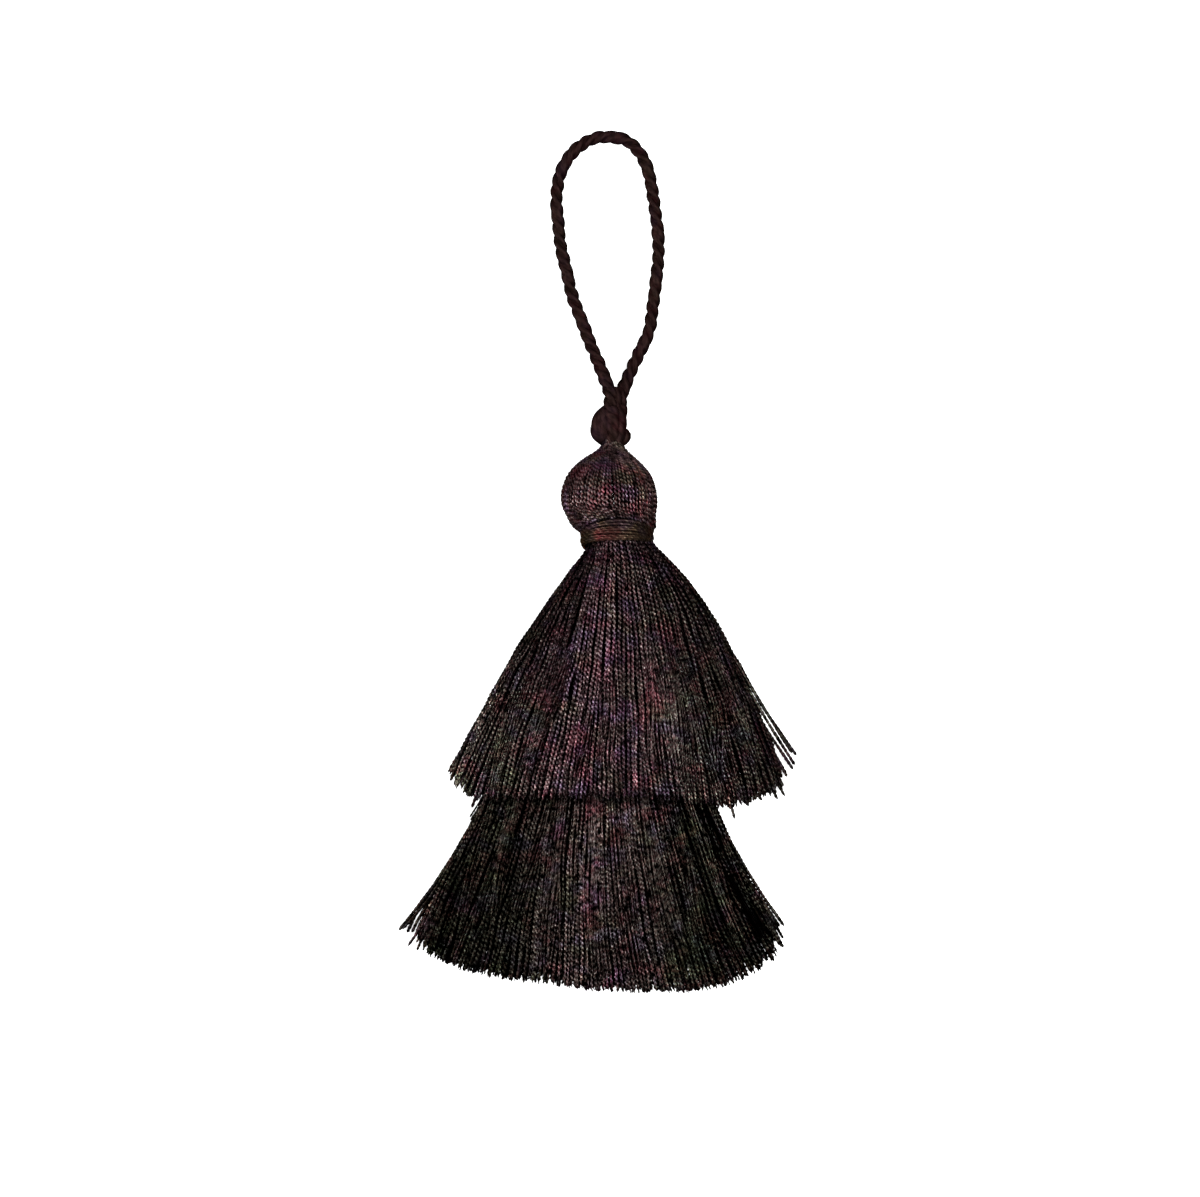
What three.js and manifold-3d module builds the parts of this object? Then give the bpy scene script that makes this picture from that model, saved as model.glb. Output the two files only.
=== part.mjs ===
// A silky tassel in two tiers under a round head, with a bound neck, a knot and a twisted cord loop,
// lying on its back on a table. Millimetres: +X to its right, +Y from the hems to the loop, +Z up.
// Every table below is measured from the middle of the neck, at table height: across is X, along is Y
// and height is Z. The finished group is moved so that the origin lies under the middle of the
// tassel's body, loop left out.
import * as THREE from "three";
import { mergeVertices } from "three/addons/utils/BufferGeometryUtils.js";
import Module from "manifold-3d";

const wasm = await Module();
wasm.setup();

// Driving dimensions
const SEAT_GAP = 0.3; // clearance between pieces that touch
const CORD_RADIUS = 0.8; // twisted cord of the loop, over the crests of its three plies
const CORD_LAY = 4.6; // length in which one ply of that cord goes once round
const PLY_DEPTH = 0.09; // from the crests to the creases between plies, as a share of the radius
const LOCK_HALF_THICKNESS = 0.35; // a lock of skirt threads, through the skirt's wall
const LOCK_FILL = 0.84; // width of a lock as a share of the room it has
const STRAY_FILL = 0.5;
const LOCK_LEAST_WIDTH = 0.25;
const LOCK_MOST_WIDTH = 1.35;
const LOCK_CROWN = 0.55; // width of a lock's outer face as a share of its inner face
const LAYER_DEPTH = 1.05; // from the outer locks to those that show between them
const PACKED_COVER = 0.06; // of the solid top of a skirt over the roots of its locks
const HEAD_RIBS = 28;
const RIB_DEPTH = 0.13;
const NECK_RADIUS = 4.1;
const NECK_HEIGHT = 6.1; // of the neck's middle over the table
const WRAP_THICKNESS = 0.55; // thread wound round the neck
const WRAP_CREASE = 0.17;
const WRAPS = 6;

// The band round the neck: its front is pushed towards the head, and it is pinched at its sides.
const BAND = { along: 1.25, sideHeight: 1.75, frontHeight: 2.9, lean: 1.25 };

// Sections of the head from the knot down to the neck. Lean is how far a section follows the slant
// of the band's edge.
const HEAD_SECTIONS = [
  { across: -0.65, along: 13.55, height: 3.6, radius: 1.3, lean: 0 },
  { across: -0.72, along: 12.9, height: 4.1, radius: 2.3, lean: 0 },
  { across: -0.95, along: 12.0, height: 4.7, radius: 3.5, lean: 0 },
  { across: -1.05, along: 10.6, height: 5.35, radius: 5.0, lean: 0 },
  { across: -1.07, along: 9.1, height: 5.85, radius: 5.95, lean: 0 },
  { across: -1.07, along: 7.3, height: 6.15, radius: 6.42, lean: 0 },
  { across: -1.0, along: 5.7, height: 6.2, radius: 6.4, lean: 0.15 },
  { across: -0.8, along: 4.3, height: 6.2, radius: 6.05, lean: 0.5 },
  { across: -0.3, along: 3.0, height: 6.15, radius: 5.45, lean: 0.95 },
  { across: 0, along: 2.55, height: 6.1, radius: 4.9, lean: 1 },
  { across: 0, along: 2.45, height: 6.1, radius: NECK_RADIUS, lean: 1 },
];

// Rings that the skirts' threads pass through, each from the right side over the top to the left and
// back underneath. Anything that would be under the table lies level on it.
const UPPER_SKIRT = {
  neck: [
    { across: 5.4, along: -0.85, height: 5.9 },
    { across: 3.5, along: -0.35, height: 9.2 },
    { across: 0.0, along: -0.05, height: 10.3 },
    { across: -3.05, along: -0.5, height: 9.1 },
    { across: -4.1, along: -0.9, height: 5.9 },
    { across: -3.0, along: -2.0, height: 2.9 },
    { across: 0.0, along: -2.6, height: 1.7 },
    { across: 3.2, along: -2.0, height: 2.9 },
  ],
  middle: [
    { across: 15.7, along: -14.6, height: 4.0 },
    { across: 13.5, along: -15.8, height: 7.2 },
    { across: 8.5, along: -16.7, height: 9.8 },
    { across: 0.5, along: -17.0, height: 11.0 },
    { across: -7.2, along: -16.7, height: 9.8 },
    { across: -11.9, along: -15.6, height: 7.2 },
    { across: -13.8, along: -14.4, height: 4.0 },
    { across: -11.2, along: -14.9, height: 1.4 },
    { across: -6.0, along: -15.8, height: -0.2 },
    { across: 0.5, along: -16.1, height: -0.4 },
    { across: 7.0, along: -15.8, height: -0.2 },
    { across: 12.8, along: -14.9, height: 1.4 },
  ],
  hem: [
    { across: 22.3, along: -29.0, height: 1.1 },
    { across: 22.0, along: -32.0, height: 2.7 },
    { across: 19.0, along: -34.0, height: 4.7 },
    { across: 15.0, along: -35.3, height: 6.5 },
    { across: 8.3, along: -34.5, height: 8.6 },
    { across: 0.3, along: -34.0, height: 9.3 },
    { across: -7.7, along: -33.9, height: 8.7 },
    { across: -14.4, along: -33.9, height: 6.8 },
    { across: -19.6, along: -33.0, height: 4.2 },
    { across: -22.1, along: -29.7, height: 1.1 },
    { across: -18.4, along: -30.0, height: 0.35 },
    { across: -7.7, along: -31.2, height: 0.35 },
    { across: 7.7, along: -31.2, height: 0.35 },
    { across: 18.6, along: -30.0, height: 0.35 },
  ],
};
const LOWER_SKIRT = {
  neck: [
    { across: 3.2, along: -1.0, height: 5.9 },
    { across: 0.0, along: -1.0, height: 8.1 },
    { across: -3.2, along: -1.0, height: 5.9 },
    { across: 0.0, along: -1.0, height: 3.7 },
  ],
  middle: [
    { across: 10.8, along: -28.6, height: 3.4 },
    { across: 8.8, along: -29.4, height: 5.0 },
    { across: 4.3, along: -29.8, height: 6.1 },
    { across: -1.7, along: -30.0, height: 6.4 },
    { across: -8.2, along: -29.7, height: 5.9 },
    { across: -13.0, along: -29.0, height: 4.6 },
    { across: -15.2, along: -28.0, height: 3.1 },
    { across: -11.0, along: -28.4, height: 1.8 },
    { across: -1.5, along: -29.0, height: 1.75 },
    { across: 7.2, along: -28.8, height: 1.8 },
  ],
  hem: [
    { across: 21.6, along: -51.6, height: 1.0 },
    { across: 20.9, along: -54.2, height: 2.1 },
    { across: 17.9, along: -56.6, height: 3.4 },
    { across: 12.8, along: -58.8, height: 4.8 },
    { across: 5.6, along: -59.5, height: 5.7 },
    { across: -2.4, along: -59.3, height: 5.9 },
    { across: -9.9, along: -58.6, height: 5.4 },
    { across: -17.3, along: -57.2, height: 4.2 },
    { across: -22.8, along: -55.2, height: 2.8 },
    { across: -26.2, along: -52.7, height: 1.5 },
    { across: -27.1, along: -50.6, height: 0.8 },
    { across: -20.0, along: -51.6, height: -1.2 },
    { across: -2.0, along: -56.2, height: -1.4 },
    { across: 15.0, along: -54.0, height: -1.2 },
  ],
};

// Locks that have sprung out of a skirt, by their number round it, and how far their tips have moved.
const UPPER_STRAYS = [
  { lock: 95, across: 1.2, along: 1.9, up: 0 },
  { lock: 0, across: 0.9, along: 0.3, up: 0.5 },
  { lock: 1, across: 0.5, along: -0.6, up: 0.6 },
  { lock: 48, across: -0.6, along: -1.2, up: 0 },
];
const LOWER_STRAYS = [
  { lock: 0, across: 0.9, along: 0.8, up: 0.2 },
  { lock: 1, across: 0.5, along: -0.3, up: 0.4 },
  { lock: 44, across: -0.4, along: -0.2, up: 0.3 },
  { lock: 45, across: -1.3, along: 1.2, up: 0 },
];

// How many locks go round each skirt. Where its edge is too thin for two, the one underneath is left
// out.
const UPPER_LOCKS = { count: 96, strays: UPPER_STRAYS, thin: [] };
const LOWER_LOCKS = { count: 90, strays: LOWER_STRAYS, thin: [46, 89] };

// The loop's middle line as it lies: out of the knot, up its left leg, round and down its right leg.
const LOOP_LINE = [
  { across: -0.85, along: 18.5, height: 3.6 },
  { across: -0.85, along: 19.3, height: 3.59 },
  { across: -0.92, along: 20.5, height: 3.35 },
  { across: -1.27, along: 21.7, height: 2.9 },
  { across: -2.27, along: 24.3, height: 1.95 },
  { across: -3.6, along: 27.5, height: 1.2 },
  { across: -4.8, along: 30.7, height: 0.88 },
  { across: -6.0, along: 33.9, height: 0.82 },
  { across: -6.73, along: 37.1, height: 0.82 },
  { across: -7.5, along: 40.3, height: 0.82 },
  { across: -7.85, along: 43.5, height: 0.82 },
  { across: -8.1, along: 46.7, height: 0.82 },
  { across: -7.67, along: 49.9, height: 0.82 },
  { across: -6.85, along: 51.7, height: 0.82 },
  { across: -5.75, along: 53.2, height: 0.82 },
  { across: -4.3, along: 54.3, height: 0.82 },
  { across: -2.6, along: 54.8, height: 0.82 },
  { across: -0.6, along: 54.9, height: 0.82 },
  { across: 1.2, along: 54.5, height: 0.82 },
  { across: 2.5, along: 53.6, height: 0.82 },
  { across: 3.4, along: 52.4, height: 0.82 },
  { across: 4.05, along: 51.0, height: 0.82 },
  { across: 4.67, along: 48.3, height: 0.82 },
  { across: 5.13, along: 45.1, height: 0.82 },
  { across: 5.53, along: 41.9, height: 0.82 },
  { across: 5.53, along: 38.7, height: 0.82 },
  { across: 5.2, along: 35.5, height: 0.82 },
  { across: 4.8, along: 32.3, height: 0.82 },
  { across: 4.2, along: 29.1, height: 0.84 },
  { across: 2.87, along: 25.9, height: 1.0 },
  { across: 2.1, along: 24.3, height: 1.15 },
  { across: 1.1, along: 21.9, height: 1.6 },
  { across: 0.58, along: 20.5, height: 2.1 },
  { across: 0.41, along: 19.3, height: 2.42 },
  { across: 0.4, along: 18.5, height: 2.45 },
];

// The knot: two cord ends come down in front, and a doubled turn goes behind them from the big lobe
// on the left to the small one on the right.
const KNOT_CORDS = [
  [
    { across: -0.85, along: 18.2, height: 3.6 },
    { across: -0.85, along: 17.6, height: 3.62 },
    { across: -0.72, along: 16.9, height: 3.85 },
    { across: -0.6, along: 16.0, height: 4.05 },
    { across: -0.75, along: 15.0, height: 3.8 },
    { across: -0.95, along: 14.2, height: 3.5 },
  ],
  [
    { across: 0.4, along: 18.2, height: 2.45 },
    { across: 0.42, along: 17.6, height: 2.5 },
    { across: 0.5, along: 17.0, height: 2.85 },
    { across: 0.45, along: 16.2, height: 3.45 },
    { across: 0.2, along: 15.2, height: 3.7 },
    { across: -0.2, along: 14.2, height: 3.5 },
  ],
  [
    { across: -0.7, along: 17.6, height: 2.9 },
    { across: -1.65, along: 17.2, height: 3.15 },
    { across: -2.5, along: 16.6, height: 2.85 },
    { across: -2.45, along: 16.1, height: 1.8 },
    { across: -1.3, along: 15.9, height: 0.95 },
    { across: 0.1, along: 15.6, height: 0.95 },
    { across: 1.0, along: 15.25, height: 1.8 },
    { across: 0.95, along: 15.2, height: 2.7 },
  ],
  [
    { across: -0.9, along: 15.5, height: 3.5 },
    { across: -1.95, along: 15.5, height: 3.35 },
    { across: -2.65, along: 15.35, height: 2.5 },
    { across: -2.2, along: 15.0, height: 1.4 },
    { across: -0.9, along: 14.85, height: 0.95 },
    { across: 0.3, along: 14.95, height: 1.5 },
    { across: 0.6, along: 15.0, height: 2.3 },
  ],
];

// A repeatable stream of numbers from 0 to 1, so that the locks are uneven in the same way each time.
function numbersFrom(seed) {
  let state = seed;
  return () => {
    state = (state + 0x6d2b79f5) | 0;
    let mixed = Math.imul(state ^ (state >>> 15), 1 | state);
    mixed = (mixed + Math.imul(mixed ^ (mixed >>> 7), 61 | mixed)) ^ mixed;
    return ((mixed ^ (mixed >>> 14)) >>> 0) / 4294967296;
  };
}

function angleOf(side, sides) {
  return (side / sides) * Math.PI * 2;
}

function curveThrough(rows, closed = false) {
  const points = rows.map(({ across, along, height }) => new THREE.Vector3(across, along, height));
  return new THREE.CatmullRomCurve3(points, closed, "centripetal");
}

function volumeOf(corners, faces) {
  let volume = 0;
  for (let i = 0; i < faces.length; i += 3) {
    const [a, b, c] = faces.slice(i, i + 3).map((corner) => corners[corner]);
    volume += a.dot(new THREE.Vector3().crossVectors(b, c)) / 6;
  }
  return volume;
}

// A closed skin over rings that have the same number of corners. Unless the rings join up like a
// tyre's, a fan covers each end.
function skinOver(rings, joinsUp = false) {
  const sides = rings[0].length;
  const corners = rings.flat();
  const faces = [];
  for (let ring = 0; ring < rings.length - (joinsUp ? 0 : 1); ring++)
    for (let side = 0; side < sides; side++) {
      const here = ring * sides;
      const next = ((ring + 1) % rings.length) * sides;
      const after = (side + 1) % sides;
      faces.push(here + side, here + after, next + after, here + side, next + after, next + side);
    }
  if (!joinsUp)
    for (const end of [0, rings.length - 1]) {
      const middle = new THREE.Vector3();
      rings[end].forEach((corner) => middle.addScaledVector(corner, 1 / sides));
      corners.push(middle);
      for (let side = 0; side < sides; side++) {
        const edge = [end * sides + side, end * sides + ((side + 1) % sides)];
        faces.push(...(end === 0 ? edge.reverse() : edge), corners.length - 1);
      }
    }
  const geometry = new THREE.BufferGeometry().setFromPoints(corners);
  geometry.setIndex(volumeOf(corners, faces) < 0 ? faces.reverse() : faces);
  return geometry;
}

function solidFrom(geometry) {
  const merged = mergeVertices(geometry, 1e-5);
  return new wasm.Manifold(
    new wasm.Mesh({
      numProp: 3,
      vertProperties: new Float32Array(merged.attributes.position.array),
      triVerts: new Uint32Array(merged.index.array),
    }),
  );
}

// Joins skins that overlap into one. Pockets shut in between them are filled: only the shell that
// goes round the outside is kept.
function fused(skins) {
  const mesh = wasm.Manifold.union(skins.map(solidFrom)).getMesh();
  const corners = [];
  for (let i = 0; i < mesh.vertProperties.length; i += 3)
    corners.push(new THREE.Vector3().fromArray(mesh.vertProperties, i));
  const linkedTo = corners.map((_, i) => i);
  const shellOf = (corner) => {
    while (linkedTo[corner] !== corner) corner = linkedTo[corner] = linkedTo[linkedTo[corner]];
    return corner;
  };
  for (let i = 0; i < mesh.triVerts.length; i += 3) {
    const [a, b, c] = mesh.triVerts.subarray(i, i + 3);
    linkedTo[shellOf(a)] = shellOf(b);
    linkedTo[shellOf(b)] = shellOf(c);
  }
  const shells = new Map();
  for (let i = 0; i < mesh.triVerts.length; i += 3) {
    const shell = shellOf(mesh.triVerts[i]);
    shells.set(shell, [...(shells.get(shell) ?? []), i]);
  }
  const [outside] = [...shells.values()]
    .map((starts) => starts.flatMap((i) => [...mesh.triVerts.subarray(i, i + 3)]))
    .sort((a, b) => volumeOf(corners, b) - volumeOf(corners, a));
  const geometry = new THREE.BufferGeometry().setFromPoints(corners);
  geometry.setIndex(outside);
  return geometry;
}

// A cord of three plies along a curve: its outline turns as it goes.
function twistedCord(curve, steps, sides) {
  const frames = curve.computeFrenetFrames(steps, false);
  const length = curve.getLength();
  const rings = frames.tangents.map((_, step) =>
    Array.from({ length: sides }, (_, side) => {
      const angle = angleOf(side, sides);
      const turned = angle + ((step / steps) * length * Math.PI * 2) / CORD_LAY;
      const radius = CORD_RADIUS * (1 - PLY_DEPTH * (1 - Math.cos(3 * turned)));
      return curve
        .getPointAt(step / steps)
        .addScaledVector(frames.normals[step], Math.cos(angle) * radius)
        .addScaledVector(frames.binormals[step], Math.sin(angle) * radius);
    }),
  );
  return skinOver(rings);
}

// A skirt as a surface: the point at a turn round it, from 0 to 1, and a share of the way from its
// neck to its hem.
function surfaceOf({ neck, middle, hem }) {
  const rings = [neck, middle, hem].map((rows) => curveThrough(rows, true));
  rings.forEach((ring) => (ring.arcLengthDivisions = 2000));
  return (turn, share) => {
    const [top, half, end] = rings.map((ring) => ring.getPointAt(((turn % 1) + 1) % 1));
    const point = top.multiplyScalar(2 * (share - 0.5) * (share - 1));
    point.addScaledVector(half, 4 * share * (1 - share));
    point.addScaledVector(end, 2 * share * (share - 0.5));
    point.z = Math.max(point.z, LOCK_HALF_THICKNESS);
    return point;
  };
}

// At a point of a skirt: the directions along its threads, out of it and across them.
function directionsOn(surface, turn, share) {
  const small = 1e-3;
  const down = surface(turn, share + small).sub(surface(turn, share - small)).normalize();
  const round = surface(turn + small, share).sub(surface(turn - small, share));
  const out = new THREE.Vector3().crossVectors(round, down).normalize();
  return { down, out, across: new THREE.Vector3().crossVectors(down, out) };
}

// The way round a skirt at some depth inside it, as if it were as wide all round as it is here.
function girthAt(surface, turn, share, depth) {
  const small = 2e-3;
  const [here, there] = [turn - small, turn + small].map((near) =>
    surface(near, share).addScaledVector(directionsOn(surface, near, share).out, -depth),
  );
  return there.sub(here).dot(directionsOn(surface, turn, share).across) / (2 * small);
}

// One lock of threads, with a flat crown where it has four sides and a ridge where it has three.
function lockOf(surface, { turn, room, depth, from, to, steps, sides, tip }) {
  const rings = [];
  for (let step = 0; step <= steps; step++) {
    const share = from + ((to - from) * step) / steps;
    const { out, across } = directionsOn(surface, turn, share);
    const girth = Math.abs(girthAt(surface, turn, share, depth + LOCK_HALF_THICKNESS));
    const half = THREE.MathUtils.clamp(room * girth, LOCK_LEAST_WIDTH, LOCK_MOST_WIDTH) / 2;
    const middle = surface(turn, share).addScaledVector(out, -depth);
    middle.addScaledVector(tip, (step / steps) ** 2);
    middle.z = Math.max(middle.z, LOCK_HALF_THICKNESS);
    const crown = sides === 4 ? [half * LOCK_CROWN, -half * LOCK_CROWN] : [0];
    const corners = [...crown.map((wide) => [wide, 1]), [-half, -1], [half, -1]];
    rings.push(
      corners.map(([wide, face]) => {
        const corner = middle.clone().addScaledVector(across, wide);
        corner.addScaledVector(out, face * LOCK_HALF_THICKNESS);
        corner.z = Math.max(corner.z, 0);
        return corner;
      }),
    );
  }
  return skinOver(rings);
}

// Locks round a skirt, from one turn to another, uneven in place and at their tips.
function locksRound(surface, { count, phase, first, last, seed, strays, thin, ...shape }) {
  const next = numbersFrom(seed);
  const locks = [];
  for (let lock = 0; lock < count; lock++) {
    const turn = (lock + phase + (next() - 0.5) * 0.06) / count;
    const to = 1 - next() * 0.02;
    const tip = new THREE.Vector3((next() - 0.5) * 0.12, 0, 0);
    const stray = strays.find((row) => row.lock === lock);
    if (stray) tip.set(stray.across, stray.along, stray.up);
    if (turn < first || turn > last || thin.includes(lock)) continue;
    locks.push(lockOf(surface, { ...shape, turn, to, tip, room: (stray ? STRAY_FILL : LOCK_FILL) / count }));
  }
  return locks;
}

// Both layers of a skirt's locks.
function skirtLocks(surface, { count, from, seed, strays, thin }) {
  const outer = { phase: 0.5, depth: 0, sides: 4, first: 0, last: 1, strays, thin };
  const inner = { phase: 0, depth: LAYER_DEPTH, sides: 3, first: 0.05, last: 0.47, strays: [], thin: [] };
  return [outer, inner].flatMap((layer) => locksRound(surface, { ...layer, count, from, seed, steps: 3 }));
}

// A skirt's top, where its threads are packed tight: ribbed rings a little outside the locks, from
// one share of the way down to a flat end.
function packedRings(surface, { from, end, rings, sides }) {
  const corner = (turn, side, share) => {
    const cover = LOCK_HALF_THICKNESS + PACKED_COVER + (side % 2 ? 0 : RIB_DEPTH);
    const point = surface(turn, share).addScaledVector(directionsOn(surface, turn, share).out, cover);
    point.z = Math.max(point.z, 0);
    return point;
  };
  const columns = Array.from({ length: sides }, (_, side) => {
    const turn = side / sides;
    let [over, under] = [from, 1];
    for (let halving = 0; halving < 40; halving++) {
      const share = (over + under) / 2;
      if (corner(turn, side, share).y > end) over = share;
      else under = share;
    }
    return Array.from({ length: rings }, (_, ring) =>
      corner(turn, side, from + ((over - from) * ring) / (rings - 1)),
    );
  });
  return Array.from({ length: rings }, (_, ring) =>
    columns.map((column) => (ring === rings - 1 ? column[ring].setY(end) : column[ring])),
  );
}

// How far the band's edge has moved along the neck, at an angle round it: side is 1 for the edge
// by the head, -1 for the edge by the skirts and 0 for the band's middle.
function bandEdge(angle, side) {
  const front = Math.sin(angle);
  return BAND.lean * front + (side / 2) * (BAND.frontHeight - BAND.sideHeight) * front ** 2;
}

// A ring square to the neck but for its slant, with ribs unless it is smooth.
function neckRing({ across, along, height, radius, slant, smooth }, sides) {
  return Array.from({ length: sides }, (_, side) => {
    const angle = angleOf(side, sides);
    const rib = side % 2 && !smooth ? RIB_DEPTH * Math.min(1, radius / 4) : 0;
    return new THREE.Vector3(
      across + (radius - rib) * Math.cos(angle),
      along + slant(angle),
      Math.max(height + (radius - rib) * Math.sin(angle), 0),
    );
  });
}

function headAndUpperSkirt() {
  const surface = surfaceOf(UPPER_SKIRT);
  const sides = HEAD_RIBS * 2;
  const belowBand = BAND.along - BAND.sideHeight / 2 - SEAT_GAP;
  const neckEnd = { across: 0, along: belowBand, height: NECK_HEIGHT, radius: NECK_RADIUS, smooth: true };
  const rings = [
    ...HEAD_SECTIONS.map((row) =>
      neckRing({ ...row, slant: (angle) => row.lean * bandEdge(angle, 1) }, sides),
    ),
    neckRing({ ...neckEnd, slant: (angle) => bandEdge(angle, -1) }, sides),
    ...packedRings(surface, { from: 0, end: -4.3, rings: 3, sides }),
  ];
  const locks = skirtLocks(surface, { ...UPPER_LOCKS, from: 0.06, seed: 11 });
  return fused([skinOver(rings), ...locks]);
}

function lowerSkirt() {
  const surface = surfaceOf(LOWER_SKIRT);
  const core = skinOver(packedRings(surface, { from: 0.08, end: -19, rings: 3, sides: 40 }));
  const locks = skirtLocks(surface, { ...LOWER_LOCKS, from: 0.27, seed: 21 });
  return fused([core, ...locks]);
}

// The band: turns of thread wound side by side.
function neckBinding() {
  const sides = 28;
  const inner = NECK_RADIUS + SEAT_GAP;
  const section = [];
  for (let step = 0; step <= WRAPS * 2; step++) {
    const crease = step % 2 ? 0 : WRAP_CREASE;
    section.push({ radius: inner + WRAP_THICKNESS - crease, share: step / WRAPS - 1 });
  }
  section.push({ radius: inner, share: 0.97 }, { radius: inner, share: -0.97 });
  const rings = Array.from({ length: sides }, (_, side) => {
    const angle = angleOf(side, sides);
    return section.map(({ radius, share }) => {
      const along = BAND.along + (share * BAND.sideHeight) / 2 + bandEdge(angle, share);
      return new THREE.Vector3(radius * Math.cos(angle), along, NECK_HEIGHT + radius * Math.sin(angle));
    });
  });
  return skinOver(rings, true);
}

function knot() {
  return fused(KNOT_CORDS.map((rows) => twistedCord(curveThrough(rows), 10, 9)));
}

function yarn(colour) {
  return new THREE.MeshStandardMaterial({ color: colour, roughness: 0.6, metalness: 0 });
}

function piece(name, geometry, material) {
  const mesh = new THREE.Mesh(geometry, material);
  mesh.name = name;
  return mesh;
}

const silk = yarn(0x342628);
const wound = yarn(0x342522);
const cord = yarn(0x2e2121);

const body = new THREE.Group();
body.add(
  piece("head_and_upper_skirt", headAndUpperSkirt(), silk),
  piece("lower_skirt", lowerSkirt(), silk),
  piece("neck_binding", neckBinding(), wound),
  piece("knot", knot(), cord),
);
const bodyBox = new THREE.Box3().setFromObject(body);

const tassel = new THREE.Group();
tassel.add(body, piece("hanging_loop", twistedCord(curveThrough(LOOP_LINE), 140, 9), cord));
tassel.position.set(-(bodyBox.min.x + bodyBox.max.x) / 2, -(bodyBox.min.y + bodyBox.max.y) / 2, 0);

export default tassel;
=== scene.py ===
import math

import bpy
import numpy as np
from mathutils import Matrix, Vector


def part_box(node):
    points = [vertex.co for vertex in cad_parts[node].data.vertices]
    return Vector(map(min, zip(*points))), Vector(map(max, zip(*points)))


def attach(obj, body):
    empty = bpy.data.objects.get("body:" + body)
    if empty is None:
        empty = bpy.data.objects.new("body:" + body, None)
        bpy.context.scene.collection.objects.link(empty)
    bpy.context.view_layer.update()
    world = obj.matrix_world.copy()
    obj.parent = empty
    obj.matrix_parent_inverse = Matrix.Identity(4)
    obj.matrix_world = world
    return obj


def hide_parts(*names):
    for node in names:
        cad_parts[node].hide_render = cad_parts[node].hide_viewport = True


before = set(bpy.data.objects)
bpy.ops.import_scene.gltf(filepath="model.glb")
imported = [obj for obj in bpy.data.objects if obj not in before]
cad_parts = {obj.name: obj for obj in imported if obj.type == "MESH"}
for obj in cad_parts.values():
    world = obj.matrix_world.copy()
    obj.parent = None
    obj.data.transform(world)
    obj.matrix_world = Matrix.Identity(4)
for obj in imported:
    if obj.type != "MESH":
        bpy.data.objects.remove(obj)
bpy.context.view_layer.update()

MM = 0.001
NECK_HEIGHT = 6.1
BAND_ALONG = 1.25
band_low, band_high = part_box("neck_binding")
ORIGIN = np.array((band_low + band_high) / 2) / MM - np.array((0, BAND_ALONG, NECK_HEIGHT))


def placed(point):
    """A place measured from the neck, in the frame's metres."""
    return Vector((np.array(point, float) + ORIGIN) * MM)


# Camera
# It looks straight down on the tassel through a long lens, so that nothing leans.
VIEW_MIDDLE = (-2.27, -6.73)
VIEW_WIDTH = 160
VIEW_DISTANCE = 905
VIEW_HEIGHT = 5
SENSOR = 36

camera = bpy.data.objects.new("camera", bpy.data.cameras.new("camera"))
camera.data.sensor_width = SENSOR
camera.data.lens = SENSOR * (VIEW_DISTANCE - VIEW_HEIGHT) / VIEW_WIDTH
camera.data.clip_start = 0.05
camera.data.clip_end = 10
camera.location = placed((*VIEW_MIDDLE, VIEW_DISTANCE))
bpy.context.scene.collection.objects.link(camera)
bpy.context.scene.camera = camera
bpy.context.scene.view_settings.view_transform = "Standard"


# Table and light
# A plain white table with a soft light on each side, so that threads that run straight down glint and
# the ones fanned to the sides stay darker, and two weaker ones beyond the loop and the hems.
class Wire:
    """A value on its way through a finish. Written into sums and products, it adds the Math nodes."""

    def __init__(self, finish, socket):
        self.finish = finish
        self.socket = socket

    def worked(self, operation, first, second):
        return self.finish.add("ShaderNodeMath", {"operation": operation}, {0: first, 1: second})

    def __add__(self, other):
        return self.worked("ADD", self, other)

    def __radd__(self, other):
        return self.worked("ADD", other, self)

    def __sub__(self, other):
        return self.worked("SUBTRACT", self, other)

    def __rsub__(self, other):
        return self.worked("SUBTRACT", other, self)

    def __mul__(self, other):
        return self.worked("MULTIPLY", self, other)

    def __rmul__(self, other):
        return self.worked("MULTIPLY", other, self)

    def kept(self, most=1.0):
        """Held between 0 and the most that it may be."""
        return self.finish.add("ShaderNodeClamp", {}, {"Value": self, "Max": most})


class Finish:
    """A material that is being put together from nodes."""

    def __init__(self, name):
        self.material = bpy.data.materials.new(name)
        self.material.use_nodes = True
        self.nodes = self.material.node_tree.nodes
        self.links = self.material.node_tree.links
        self.shader = self.nodes["Principled BSDF"]

    def feed(self, socket, value):
        """Links a wire to a socket, or sets the socket to a plain value."""
        if isinstance(value, Wire):
            self.links.new(value.socket, socket)
        else:
            socket.default_value = value

    def add(self, kind, settings, sockets, output=0):
        """A new node's output. Its settings come first, then the values or links of its sockets."""
        node = self.nodes.new(kind)
        for name, value in settings.items():
            setattr(node, name, value)
        for name, value in sockets.items():
            self.feed(node.inputs[name], value)
        return Wire(self, node.outputs[output])

    def mixed(self, share, under, over, way="MIX"):
        """Two colours mixed by a share from 0 to 1."""
        settings = {"data_type": "RGBA", "blend_type": way}
        return self.add("ShaderNodeMix", settings, {0: share, 6: under, 7: over}, output=2)

    def surface(self, **values):
        """Fills in the surface's own sockets. An underscore stands for a space."""
        for name, value in values.items():
            self.feed(self.shader.inputs[name.replace("_", " ")], value)
        return self.material


WHITE = (1, 1, 1, 1)
TABLE_SIZE = 6.0
TABLE_COLOUR = (0.86, 0.86, 0.86, 1)
TABLE_GLOW = 0.8
ROOM_GLOW = 0.05

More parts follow.
